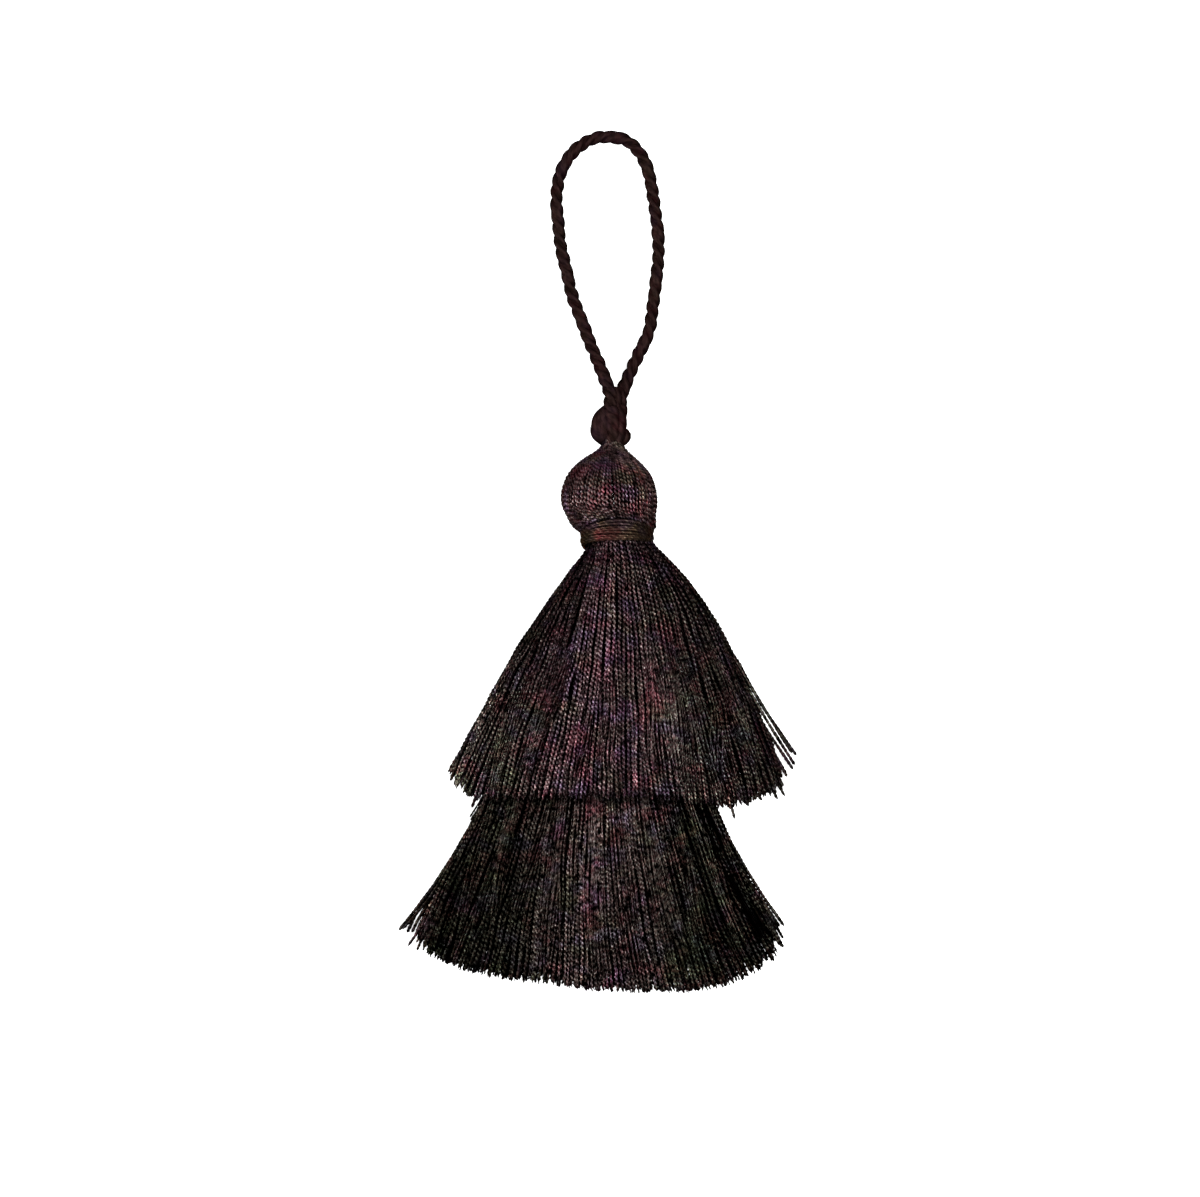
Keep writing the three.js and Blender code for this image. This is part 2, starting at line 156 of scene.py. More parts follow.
table = bpy.data.objects.new("table", bpy.data.meshes.new("table"))
table_corners = [(-0.5, -0.5, 0), (0.5, -0.5, 0), (0.5, 0.5, 0), (-0.5, 0.5, 0)]
table.data.from_pydata([Vector(c) * TABLE_SIZE for c in table_corners], [], [(0, 1, 2, 3)])
bpy.context.scene.collection.objects.link(table)
table_paint = Finish("table_paint")
table.data.materials.append(
    table_paint.surface(
        Base_Color=TABLE_COLOUR, Roughness=0.9, Emission_Color=WHITE, Emission_Strength=TABLE_GLOW
    )
)
table.visible_glossy = False

room = bpy.data.worlds.new("room")
room.use_nodes = True
room.node_tree.nodes["Background"].inputs["Color"].default_value = WHITE
room.node_tree.nodes["Background"].inputs["Strength"].default_value = ROOM_GLOW
bpy.context.scene.world = room


def soft_light(name, place, size, watts):
    """A square light over the tassel, turned to its middle."""
    lamp = bpy.data.objects.new(name, bpy.data.lights.new(name, "AREA"))
    lamp.data.shape = "SQUARE"
    lamp.data.size = size
    lamp.data.energy = watts
    lamp.location = Vector(place)
    lamp.rotation_mode = "QUATERNION"
    lamp.rotation_quaternion = (-Vector(place)).to_track_quat("-Z", "Y")
    bpy.context.scene.collection.objects.link(lamp)


soft_light("left_light", (-0.75, 0, 0.45), 0.4, 11.0)
soft_light("right_light", (0.45, 0, 0.8), 0.4, 12.0)
soft_light("loop_light", (0, 0.85, 0.35), 0.6, 5.0)
soft_light("hem_light", (0, -0.85, 0.35), 0.6, 5.0)


# Hanging loop
# One cord of three plies, twisted hard and doubled over, with its two ends tied off in the knot. It
# stands up a little at the knot and lies flat on the table from there on.
CORD_RADIUS = 0.9
CORD_LAY = 4.95
CORD_GIRTH = 0.545
CORD_STEP = 0.2
CORD_SIDES = 24
CORD_COLOUR = (0.0190, 0.0095, 0.0090, 1)
CORD_CREASE_SHADE_COLOUR = (0.0190, 0.0080, 0.0078, 1)
LOOP_LINE = [
    (-0.85, 18.0, 3.6),
    (-0.85, 19.3, 3.59),
    (-0.92, 20.5, 3.35),
    (-1.27, 21.7, 2.9),
    (-2.27, 24.3, 1.95),
    (-3.6, 27.5, 1.2),
    (-4.8, 30.7, 0.9),
    (-6.0, 33.9, 0.88),
    (-6.73, 37.1, 0.88),
    (-7.5, 40.3, 0.88),
    (-7.85, 43.5, 0.88),
    (-8.1, 46.7, 0.88),
    (-7.67, 49.9, 0.88),
    (-6.85, 51.7, 0.88),
    (-5.75, 53.2, 0.88),
    (-4.3, 54.3, 0.88),
    (-2.6, 55.0, 0.88),
    (-0.6, 55.05, 0.88),
    (1.2, 54.65, 0.88),
    (2.5, 53.6, 0.88),
    (3.4, 52.4, 0.88),
    (4.05, 51.0, 0.88),
    (4.67, 48.3, 0.88),
    (5.13, 45.1, 0.88),
    (5.53, 41.9, 0.88),
    (5.53, 38.7, 0.88),
    (5.2, 35.5, 0.88),
    (4.8, 32.3, 0.88),
    (4.3, 29.1, 0.9),
    (2.87, 25.9, 1.0),
    (2.1, 24.3, 1.15),
    (1.1, 21.9, 1.6),
    (0.58, 20.5, 2.1),
    (0.41, 19.3, 2.42),
    (0.4, 18.0, 2.45),
]


def unit(vectors):
    return vectors / np.maximum(np.linalg.norm(vectors, axis=-1, keepdims=True), 1e-12)


def lengths_along(points):
    """How far each point of a line is from its start."""
    return np.concatenate([[0], np.cumsum(np.linalg.norm(np.diff(points, axis=0), axis=1))])


def at_lengths(points, lengths):
    """The places at so many millimetres along a line of points."""
    run = lengths_along(points)
    return np.stack([np.interp(lengths, run, column) for column in points.T], axis=1)


def curve_through(rows, closed=False, steps=40):
    """Points close together on a smooth curve through a table's rows."""
    rows = np.array(rows, float)
    if closed:
        run = np.vstack([rows[-1], rows, rows[:2]])
    else:
        run = np.vstack([2 * rows[0] - rows[1], rows, 2 * rows[-1] - rows[-2]])
    before, here, there, after = run[:-3], run[1:-2], run[2:-1], run[3:]

    def gap(start, end):
        return np.linalg.norm(end - start, axis=1, keepdims=True) ** 0.5

    first, middle, last = gap(before, here), gap(here, there), gap(there, after)
    leave = (here - before) / first - (there - before) / (first + middle) + (there - here) / middle
    arrive = (there - here) / middle - (after - here) / (middle + last) + (after - there) / last
    leave, arrive = leave * middle, arrive * middle
    t = np.linspace(0, 1, steps, endpoint=False)[:, None, None]
    square = 3 * (there - here) - 2 * leave - arrive
    cube = 2 * (here - there) + leave + arrive
    points = here + leave * t + square * t**2 + cube * t**3
    points = points.transpose(1, 0, 2).reshape(-1, rows.shape[1])
    return np.vstack([points, there[-1]])


def ply_reach(plies, angle, girth):
    """How far a section of twisted plies reaches at an angle from a crest, as a share of its crests.
    Girth is the radius of a ply as such a share."""
    crest = 2 * math.pi / plies
    off = (angle + crest / 2) % crest - crest / 2
    return (1 - girth) * np.cos(off) + np.sqrt(girth**2 - ((1 - girth) * np.sin(off)) ** 2)


# What a strand leaves free at each side of its strip of the bake map, and at each end of the map.
STRIP_MARGIN = 0.06
END_MARGIN = 0.015


class Bundle:
    """Strands that are laid one by one and then made into one mesh."""

    def __init__(self):
        self.strands = []

    def lay(self, middle, out, radius, angle, outline, tone_and_painted_shade, shade_between_threads=1.0, narrow=3):
        """A strand along a line of points. Angle and outline say where its section's corners are,
        round from the side that faces out, and how far they reach. The next argument is how light it is,
        from 0 to 1, all along or by point, which is its own tone and painted shade together. It also gets
        a crest value for painted shade: dark in the creases between plies and dulled towards its sides,
        by the share that lies in between its neighbours, and narrow is how soon they dull."""
        along = unit(np.gradient(middle, axis=0))
        side = unit(out - (out * along).sum(1)[:, None] * along)
        other = np.cross(along, side)
        angle, outline, reach = np.broadcast_arrays(angle, outline, radius[:, None] * outline)
        rings = middle[:, None, :] + (np.cos(angle) * reach)[..., None] * side[:, None, :]
        rings = rings + (np.sin(angle) * reach)[..., None] * other[:, None, :]
        rings[..., 2] = np.maximum(rings[..., 2], 0)
        # Painted shade: the crest value is low in the creases between plies and falls again on the sides that
        # lie between neighbouring strands.
        crest = (outline - outline.min()) / max(float(np.ptp(outline)), 1e-6)
        crest = crest**2 * (1 - shade_between_threads + shade_between_threads * np.clip(np.cos(angle), 0, 1) ** narrow)
        tone_and_painted_shade = np.broadcast_to(tone_and_painted_shade, len(middle))
        self.strands.append((rings, lengths_along(middle), tone_and_painted_shade, crest))

    def mesh(self, name, finish):
        """One object of all the strands, with a strip of the bake map for each. A strand is rings of
        corners joined by quads, and its ends are closed by triangles round a middle point."""
        longest = max(run[-1] for _, run, _, _ in self.strands)
        strip = 1 / len(self.strands)
        points, marks, crests, loops, sizes, bake, thread = [], [], [], [], [], [], []
        first = 0
        for number, (rings, run, tone_and_painted_shade, crest) in enumerate(self.strands):
            steps, sides, _ = rings.shape
            ends = np.array([rings[0].mean(0), rings[-1].mean(0)])
            points.append(np.vstack([rings.reshape(-1, 3), ends]))
            marks.append(np.concatenate([np.repeat(tone_and_painted_shade, sides), tone_and_painted_shade[[0, -1]]]))
            crests.append(np.concatenate([crest.reshape(-1), (0.5, 0.5)]))
            ring, side = np.meshgrid(np.arange(steps - 1), np.arange(sides), indexing="ij")
            after = (side + 1) % sides
            here, there = first + ring * sides, first + (ring + 1) * sides
            quads = np.stack([here + side, here + after, there + after, there + side], -1)
            across = np.stack([side, side + 1, side + 1, side], -1) / sides
            down = np.stack([run[ring], run[ring], run[ring + 1], run[ring + 1]], -1)
            one = np.arange(sides)
            two = (one + 1) % sides
            start_cap = np.stack([np.full(sides, first + steps * sides), first + two, first + one], -1)
            last = first + (steps - 1) * sides
            end_cap = np.stack([np.full(sides, first + steps * sides + 1), last + one, last + two], -1)
            cap_down = 0.1 * np.stack([-np.ones(sides), np.zeros(sides), np.zeros(sides)], -1)
            start_across = np.stack([one + 0.5, one + 1, one], -1) / sides
            end_across = np.stack([one + 0.5, one, one + 1], -1) / sides
            loops += [quads.reshape(-1), start_cap.reshape(-1), end_cap.reshape(-1)]
            sizes += [np.full(quads.size // 4, 4), np.full(2 * sides, 3)]
            u = np.concatenate([across.reshape(-1), start_across.reshape(-1), end_across.reshape(-1)])
            v = np.concatenate([down.reshape(-1), cap_down.reshape(-1), run[-1] - cap_down.reshape(-1)])
            bake_across = (number + STRIP_MARGIN + (1 - 2 * STRIP_MARGIN) * u) * strip
            bake_down = END_MARGIN + (1 - 2 * END_MARGIN) * v / longest
            bake.append(np.stack([bake_across, bake_down], -1))
            thread.append(np.stack([u, v], -1))
            first += steps * sides + 2
        mesh = bpy.data.meshes.new(name)
        points = (np.vstack(points) + ORIGIN) * MM
        loops, sizes = np.concatenate(loops), np.concatenate(sizes)
        mesh.vertices.add(len(points))
        mesh.vertices.foreach_set("co", points.astype(np.float32).reshape(-1))
        mesh.loops.add(len(loops))
        mesh.loops.foreach_set("vertex_index", loops.astype(np.int32))
        mesh.polygons.add(len(sizes))
        starts = np.concatenate([[0], np.cumsum(sizes)[:-1]])
        mesh.polygons.foreach_set("loop_start", starts.astype(np.int32))
        mesh.polygons.foreach_set("use_smooth", np.ones(len(sizes), bool))
        mesh.update(calc_edges=True)
        for map_name, places in (("OFBake", bake), ("thread", thread)):
            flat = np.vstack(places).astype(np.float32).reshape(-1)
            mesh.uv_layers.new(name=map_name).data.foreach_set("uv", flat)
        for value_name, values in (("tone_and_painted_shade", marks), ("crest", crests)):
            flat = np.concatenate(values).astype(np.float32)
            mesh.attributes.new(value_name, "FLOAT", "POINT").data.foreach_set("value", flat)
        mesh.validate()
        mesh.materials.append(finish)
        piece = bpy.data.objects.new(name, mesh)
        bpy.context.scene.collection.objects.link(piece)
        return piece


BURGUNDY = (1.6, 0.55, 0.8, 1)
VIOLET = (0.8, 0.85, 1.8, 1)
OLIVE = (0.8, 1.25, 0.75, 1)
SIDE_OLIVE = (0.85, 1.07, 0.85, 1)
UNTINTED = (1, 1, 1, 1)


def yarn(name, colour, deep, tint, fibres, gloss, crease_shade, grain, sides=12):
    """Dark silky yarn that glints more than it shines. Its colour drifts between burgundy, violet and
    olive, and is more olive so many millimetres to the sides. Its crest value paints shade: the
    creases between plies and the sides of each thread are darker and turn to the darker crease colour,
    and the drift of colour is strongest there. Each thread is a little lighter or darker than the
    next, at random and by the painted shade that it carries, and fine fibres run along it. The crease
    shade is how light the painted creases between plies are, as a share of their crests, and grain is
    how unevenly the crests glint."""
    finish = Finish(name)
    place = finish.add("ShaderNodeTexCoord", {}, {}, output="Object")
    crest = finish.add("ShaderNodeAttribute", {"attribute_name": "crest"}, {}, output="Fac")
    # Painted shade: where the crest value is low, in creases and on thread sides, the colour turns to the
    # darker crease colour.
    colour = finish.mixed(crest, deep, colour)
    across = finish.add("ShaderNodeSeparateXYZ", {}, {"Vector": place}) * (1 / (sides * MM))
    side_dye = finish.mixed((across * across).kept(), UNTINTED, SIDE_OLIVE)
    colour = finish.mixed(1.0, colour, side_dye, "MULTIPLY")

    def patches(size, shift):
        """A soft mask whose patches are so many millimetres across."""
        moved = finish.add("ShaderNodeVectorMath", {"operation": "ADD"}, {0: place, 1: shift})
        noise = finish.add("ShaderNodeTexNoise", {}, {"Vector": moved, "Scale": 1 / (size * MM)})
        return ((noise - 0.5) * 6).kept()

    for size, shift, dye in (
        (3, (0.3, 0.1, 0), BURGUNDY), (2.5, (0.7, 0.5, 0), VIOLET), (4, (0.2, 0.9, 0), OLIVE)
    ):
        # The drifting dyes are strongest where the painted crease shade is.
        dyed = finish.mixed(patches(size, shift) * tint * (1.4 - crest), UNTINTED, dye)
        colour = finish.mixed(1.0, colour, dyed, "MULTIPLY")
    tone_and_painted_shade = finish.add("ShaderNodeAttribute", {"attribute_name": "tone_and_painted_shade"}, {}, output="Fac")
    thread = finish.add("ShaderNodeUVMap", {"uv_map": "thread"}, {})
    stretch = {0: thread, 1: fibres}
    stretched = finish.add("ShaderNodeVectorMath", {"operation": "MULTIPLY"}, stretch)
    fibre = finish.add("ShaderNodeTexNoise", {}, {"Vector": stretched, "Scale": 1.0, "Detail": 3.0})
    glint = {"Vector": place, "Scale": 1 / (0.6 * MM), "Detail": 0.0}
    glint = (finish.add("ShaderNodeTexNoise", {}, glint) - 0.5) * grain + 1
    streak = (fibre - 0.5) * 2.5 + 1
    # Painted shade and light: darker in the creases and by the painted shade each thread carries, with random
    # tone, fibres and glint on top.
    shade = tone_and_painted_shade * streak.kept(2) * (crest * (1 - crease_shade) + crease_shade) * glint.kept(2)
    shaded = {0: colour, "Scale": shade}
    colour = finish.add("ShaderNodeVectorMath", {"operation": "SCALE"}, shaded)
    bump = {"Strength": 0.8, "Distance": 0.05 * MM, "Height": fibre}
    return finish.surface(
        Base_Color=colour,
        Roughness=gloss + fibre * 0.15,
        Metallic=0.9,
        Specular_IOR_Level=0.0,
        Specular_Tint=(0.25, 0.2, 0.2, 1),
        Normal=finish.add("ShaderNodeBump", {}, bump),
    )


loop_yarn = yarn("loop_yarn", CORD_COLOUR, CORD_CREASE_SHADE_COLOUR, 0.4, (36, 1.5, 1), 0.5, 0.6, 0.5)


def twisted_cord(bundle, rows, phase, tone_and_painted_shade, radius=CORD_RADIUS, girth=CORD_GIRTH):
    """A cord of three plies along a table's rows, a little uneven and thicker at its ends, whose
    creases fade here and there. Phase is how far its twist is turned at the start."""
    curve = curve_through(rows)
    length = lengths_along(curve)[-1]
    middle = at_lengths(curve, np.linspace(0, length, int(length / CORD_STEP)))
    run = lengths_along(middle)
    up = np.tile((0.0, 0.0, 1.0), (len(middle), 1))
    turned = phase - run * 2 * math.pi / CORD_LAY
    swell = 1 + 0.04 * np.sin(run * 1.9 + phase) * np.sin(run * 0.7 + 2)
    swell = swell * (1 + 0.09 * np.exp(-((np.minimum(run, length - run) / 6) ** 2)))
    uneven = 0.85 + 0.35 * np.sin(run * 0.83 + phase) + 0.3 * np.sin(run * 2.1 + 1)
    corners = np.arange(CORD_SIDES) * 2 * math.pi / CORD_SIDES
    outline = 1 - (1 - ply_reach(3, corners, girth)) * np.clip(uneven, 0.3, 1.3)[:, None]
    # Painted shade, milder than on the threads: the cord's crest value darkens its creases and a little of
    # its sides.
    bundle.lay(middle, up, radius * swell, turned[:, None] + corners, outline, tone_and_painted_shade, shade_between_threads=0.4)
    return middle


loop_bundle = Bundle()
loop_line = twisted_cord(loop_bundle, LOOP_LINE, 0.4, 0.8)
loop = loop_bundle.mesh("loop", loop_yarn)
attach(loop, "root")
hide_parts("hanging_loop")


# Knot
# The loop's two ends come down in front, and a doubled turn of the same cord goes behind them from
# the big lobe on the left to the small one on the right. A short length fills the fork of the two
# ends above the lobes, and all of it is pulled tight against the head.
KNOT_CORDS = [
    [
        (-0.85, 18.8, 3.5),
        (-0.6, 17.8, 3.6),
        (-0.52, 16.7, 3.8),
        (-0.5, 15.8, 3.8),
        (-0.5, 14.9, 3.6),
        (-0.6, 14.1, 3.4),
    ],
    [
        (0.35, 18.8, 2.7),
        (0.28, 17.8, 3.1),
        (0.25, 16.7, 3.4),
        (0.22, 15.8, 3.5),
        (0.1, 14.9, 3.4),
        (-0.2, 14.1, 3.3),
    ],
    [
        (-0.3, 18.6, 2.8),
        (-1.45, 18.0, 3.0),
        (-2.2, 17.2, 3.1),
        (-2.5, 16.25, 3.0),
        (-2.35, 15.35, 2.9),
        (-1.75, 14.75, 2.8),
        (-0.9, 14.5, 2.8),
    ],
    [
        (-0.9, 17.6, 2.9),
        (-1.35, 17.0, 3.2),
        (-1.5, 16.2, 3.3),
        (-1.45, 15.5, 3.2),
        (-1.0, 14.8, 3.0),
    ],
]
KNOT_END = [
    (-0.1, 14.9, 2.8),
    (0.6, 15.35, 2.9),
    (1.1, 15.2, 2.95),
    (1.1, 14.75, 3.0),
    (0.6, 14.35, 3.1),
    (-0.1, 14.3, 3.2),
]
KNOT_TOP = [
    (-0.05, 21.25, 2.45),
    (-0.1, 20.4, 2.85),
    (-0.15, 19.5, 3.1),
    (-0.2, 18.6, 3.2),
    (-0.2, 17.6, 3.3),
]
KNOT_RADIUS = 1.02
KNOT_END_RADIUS = 0.72
KNOT_TOP_RADIUS = 0.8
KNOT_GIRTH = 0.8
KNOT_MARK = 0.9

knot_bundle = Bundle()
for number, rows in enumerate(KNOT_CORDS):
    twisted_cord(knot_bundle, rows, number * 1.3, KNOT_MARK, KNOT_RADIUS, KNOT_GIRTH)
twisted_cord(knot_bundle, KNOT_END, 2.0, KNOT_MARK, KNOT_END_RADIUS, KNOT_GIRTH)
twisted_cord(knot_bundle, KNOT_TOP, 1.0, KNOT_MARK, KNOT_TOP_RADIUS, KNOT_GIRTH)
knot = knot_bundle.mesh("tied_knot", loop_yarn)
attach(knot, "root")
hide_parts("knot")


# Head
# A ball of threads that come out of the knot, go down all round and are tied in at the neck. They
# are two-ply and lie side by side, so that their plies make slanting rows of beads.
THREAD_RADIUS = 0.33
THREAD_LAY = 1.3
SEEN_CORNERS = np.radians((-80, -40, 0, 40, 80, 180))
INNER_CORNERS = np.radians((-70, 0, 70, 180))
HEAD_COLOUR = (0.195, 0.178, 0.174, 1)
HEAD_CREASE_SHADE_COLOUR = (0.20, 0.055, 0.060, 1)
HEAD_THREADS = 76
HEAD_STEP = THREAD_LAY / 8
HEAD_PHASE = 1.4
UNDER_THREADS = 60
UNDER_RADIUS = 0.45
UNDER_STEP = 0.9
HEAD_SECTIONS = [
    (-0.6, 14.6, 3.3, 1.2, 0),
    (-0.6, 13.6, 3.55, 1.65, 0),
    (-0.72, 12.9, 4.1, 2.3, 0),
    (-0.95, 12.0, 4.7, 3.5, 0),
    (-1.05, 10.6, 5.35, 5.0, 0),
    (-1.07, 9.1, 5.85, 5.95, 0),
    (-1.07, 7.3, 6.15, 6.42, 0),
    (-1.0, 5.7, 6.2, 6.4, 0.15),
    (-0.8, 4.3, 6.2, 6.05, 0.5),
    (-0.4, 2.95, 6.15, 5.65, 0.95),
    (-0.1, 2.25, 6.1, 5.0, 1),
    (0, 1.6, 6.1, 4.3, 1),
]
BAND_LEAN = 1.25
BAND_SIDE = 1.75
BAND_FRONT = 2.9
GOLDEN = 0.6180339887


def band_edge(angle, side):
    """How far the band's edge has moved along the neck: side is 1 by the head and -1 by the skirts."""
    front = np.sin(angle)
    return BAND_LEAN * front + side / 2 * (BAND_FRONT - BAND_SIDE) * front**2


def head_surface(turn, share):
    """The head at a turn round it, from the right over the top to the left and back underneath, and a
    share of the way from the knot to the neck."""
    sections = curve_through(HEAD_SECTIONS)
    run = lengths_along(sections)
    across, along, height, radius, lean = (
        np.interp(share * run[-1], run, column) for column in sections.T
    )
    angle = turn * 2 * math.pi
    along = along + lean * band_edge(angle, 1)
    return np.stack([across + radius * np.cos(angle), along, height + radius * np.sin(angle)], -1)


def directions_on(surface, turn, share):
    """Out of a surface, and across its threads to the next turn."""
    small = 1e-3
    down = surface(turn, share + small) - surface(turn, share - small)
    onward = surface(turn + small, share) - surface(turn - small, share)
    out = unit(np.cross(onward, down))
    return out, unit(np.cross(unit(down), out))


def smooth(share):
    share = np.clip(share, 0, 1)
    return share * share * (3 - 2 * share)


def soft_noise(rng, rows, columns, down, across):
    """A grid of values from -1 to 1 that change smoothly, in so many cells each way."""
    knots = rng.uniform(-1, 1, (down + 2, across + 2))
    y, x = np.linspace(0, down, rows), np.linspace(0, across, columns)
    row, column = y.astype(int), x.astype(int)
    right, under = smooth(x - column), smooth(y - row)[:, None]
    upper = knots[row][:, column] * (1 - right) + knots[row][:, column + 1] * right
    lower = knots[row + 1][:, column] * (1 - right) + knots[row + 1][:, column + 1] * right
    return upper * (1 - under) + lower * under


def spread_threads(
    surface, rng, count, first, last, top, packed, depth, wander, heave, clumping, ends=0.0, dive=0.7
):
    """Threads that lie side by side on a surface, from a share of the way down it to its hem. Where
    there is less room for them, some have sunk between the others: packed is how much closer they
    lie at the top than at the hem, and dive is how deep they sink. All lie as far inside as depth
    says. They stray sideways by wander and up and down by heave, clumping draws them together into
    locks, and ends is how unevenly they are cut. It gives for each thread a line of points, what is
    out of the surface, its turn round the surface and how far along it is at each point, and the
    length at which it is cut."""
    levels = 90
    shares = np.linspace(top, 1, levels)
    ruler = np.linspace(first, last, 160)
    edges = surface(ruler[:, None], shares[None, :])
    girth = np.linalg.norm(np.diff(edges, axis=0), axis=2).sum(0)
    closer = packed + (1 - packed) * smooth((shares - top) / (1 - top) * 2)
    room = np.clip(girth / girth[-1] / closer, 0, 1)
    order = (np.arange(count) * GOLDEN) % 1
    rise = 0.15
    risen = smooth((room[None, :] * (1 + rise) - order[:, None]) / rise)
    before = np.cumsum(risen, axis=0) - risen / 2
    lock_sizes = rng.integers(3, 8, count)
    lock = np.repeat(np.arange(count), lock_sizes)[:count]
    in_lock = [np.flatnonzero(lock == number) for number in range(lock.max() + 1)]
    pull = clumping * (0.5 + 0.5 * soft_noise(rng, lock.max() + 1, levels, lock.max() + 1, 4))
    drawn = np.zeros((count, levels))
    sunk = np.zeros((count, levels))
    for number, members in enumerate(in_lock):
        off = members[:, None] - members.mean()
        drawn[members] = -pull[number] * off
        sunk[members] = pull[number] * (off / max(len(members) / 2, 1)) ** 2
    before = before + drawn * risen
    turn = first + (last - first) * before / risen.sum(0)
    turn = np.broadcast_to(turn, (count, levels))
    level = np.broadcast_to(shares, (count, levels))
    out, across = directions_on(surface, turn, level)
    drift = soft_noise(rng, count, levels, max(count // 5, 1), 4) * 0.3
    drift = drift + soft_noise(rng, count, levels, count, 5) * 0.6
    drift = (drift + soft_noise(rng, count, levels, count, 12) * 0.4) * smooth((shares - top) * 4)
    lift = soft_noise(rng, count, levels, count, 7) * 0.6
    lift = lift + soft_noise(rng, count, levels, count, 16) * 0.4
    inside = depth + (1 - risen) * dive + sunk * 0.8 - lift * heave
    points = surface(turn, level) - out * inside[..., None] + across * (drift * wander)[..., None]
    points[..., 2] = np.maximum(points[..., 2], THREAD_RADIUS * 0.9)
    lines = []
    for number in range(count):
        start = int(np.argmax(risen[number] > 0.02))
        line = points[number, start:]
        run = lengths_along(line)
        keep = run[-1] * (1 - rng.uniform(0, 1) * ends)
        lines.append((line, out[number, start:], turn[number, start:], run, keep))
    return lines


EVEN = [(0, 1), (1, 1)]


def lay_threads(
    bundle, rng, lines, corners, step, shown=100.0, phase=0.0, radius=THREAD_RADIUS, light=EVEN,
    down=EVEN, inner_shade_and_tone=1.0, girth=0.51, fray=1.1
):
    """Twists a two-ply thread along each line. Farther along than where it is shown it is out of
    sight, and has long steps and no twist. Phase is how far a thread's twist is ahead of the one
    before, and without it each starts anywhere. Light and down are painted light and shade: how light
    the threads are made at each turn round the surface and at each place along. The value after them
    darkens them further, as painted shade on layers that lie inside or under, or as a darker tone.
    Girth is that of a ply, and fray is how long the thinner end is."""
    for number, (line, out, turn, run, keep) in enumerate(lines):
        seen = float(np.clip(np.interp(-shown, -line[:, 1], run), 0, max(keep - 1, 0)))
        hidden = np.arange(0, max(seen - 0.3, 0), 2.5)
        lengths = np.concatenate([hidden, np.linspace(seen, keep, max(int((keep - seen) / step), 2) + 1)])
        middle = np.stack([np.interp(lengths, run, column) for column in line.T], 1)
        facing = np.stack([np.interp(lengths, run, column) for column in out.T], 1)
        start = number * phase + rng.uniform(-1, 1) * (0.9 if phase else math.pi)
        lay = THREAD_LAY * rng.uniform(0.93, 1.07)
        turned = start - np.maximum(lengths - seen, 0) * 2 * math.pi / lay
        width = radius * (1 + 0.08 * np.sin(lengths * 1.3 + number)) * rng.uniform(0.88, 1.06)
        width = width * np.clip(0.35 + (keep - lengths) / fray, 0, 1)
        # Painted light and shade: each thread is darker towards the sides and along the skirt as the tables
        # say, and lighter or darker at random.
        shade = np.interp(np.interp(lengths, run, turn), *np.transpose(light)) * rng.uniform(0.4, 1) * inner_shade_and_tone
        shade = shade * np.interp(middle[:, 1], *np.transpose(down))
        section = ply_reach(2, corners - turned[:, None], girth)
        bundle.lay(middle, facing, width, corners, section, shade, narrow=1.5)


# Painted shade on the head: darker towards its left side and underneath, a little on its right.
HEAD_PAINTED_SIDE_SHADE = [(0, 0.85), (0.08, 1.05), (0.25, 1.1), (0.38, 1.05), (0.45, 0.55), (1, 0.5)]
head_yarn = yarn("head_yarn", HEAD_COLOUR, HEAD_CREASE_SHADE_COLOUR, 0.6, (8, 0.8, 1), 0.25, 0.03, 3.0)
head_numbers = np.random.default_rng(3)
head_bundle = Bundle()
head_lines = spread_threads(
    head_surface, head_numbers, HEAD_THREADS, 0, 1, top=0, packed=0.8, depth=THREAD_RADIUS * 0.9,
    wander=0.15, heave=0.06, clumping=0
)
lay_threads(
    head_bundle, head_numbers, head_lines, SEEN_CORNERS, HEAD_STEP, phase=HEAD_PHASE,
    light=HEAD_PAINTED_SIDE_SHADE
)
# A layer under the seen threads fills the head, made nearly black by painted shade.
under_lines = spread_threads(
    head_surface, head_numbers, UNDER_THREADS, 0, 1, top=0, packed=0.8, depth=THREAD_RADIUS * 2.5,
    wander=0.05, heave=0.05, clumping=0
)
lay_threads(
    head_bundle, head_numbers, under_lines, INNER_CORNERS, UNDER_STEP, shown=-100.0,
    radius=UNDER_RADIUS, inner_shade_and_tone=0.1
)
head = head_bundle.mesh("head", head_yarn)
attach(head, "root")
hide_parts("head_and_upper_skirt")


# Neck binding
# Thread wound tightly round the neck, in one layer of turns side by side and a looser one over it.
# The band is pushed up in front and pinched at the sides, and some turns ride up on their
# neighbours.
NECK_RADIUS = 4.22
WRAPS = 7
WRAP_STEPS = 90
WRAP_RADIUS = 0.27
WRAP_GIRTH = 0.75
BAND_FILL = 0.93
BINDING_COLOUR = (0.135, 0.085, 0.069, 1)
BINDING_CREASE_SHADE_COLOUR = (0.135, 0.062, 0.050, 1)
binding_yarn = yarn(
    "binding_yarn", BINDING_COLOUR, BINDING_CREASE_SHADE_COLOUR, 0.5, (8, 0.8, 1), 0.35, 0.3, 1.0, sides=3.5
)
binding_bundle = Bundle()
winding = np.linspace(0, 1, WRAPS * WRAP_STEPS)
winding_angle = winding * WRAPS * 2 * math.pi - math.pi / 2
facing = np.stack([np.cos(winding_angle), np.zeros_like(winding), np.sin(winding_angle)], 1)
wrap_corners = np.arange(6) * math.pi / 3
wrap_radii = np.full(len(winding), WRAP_RADIUS)
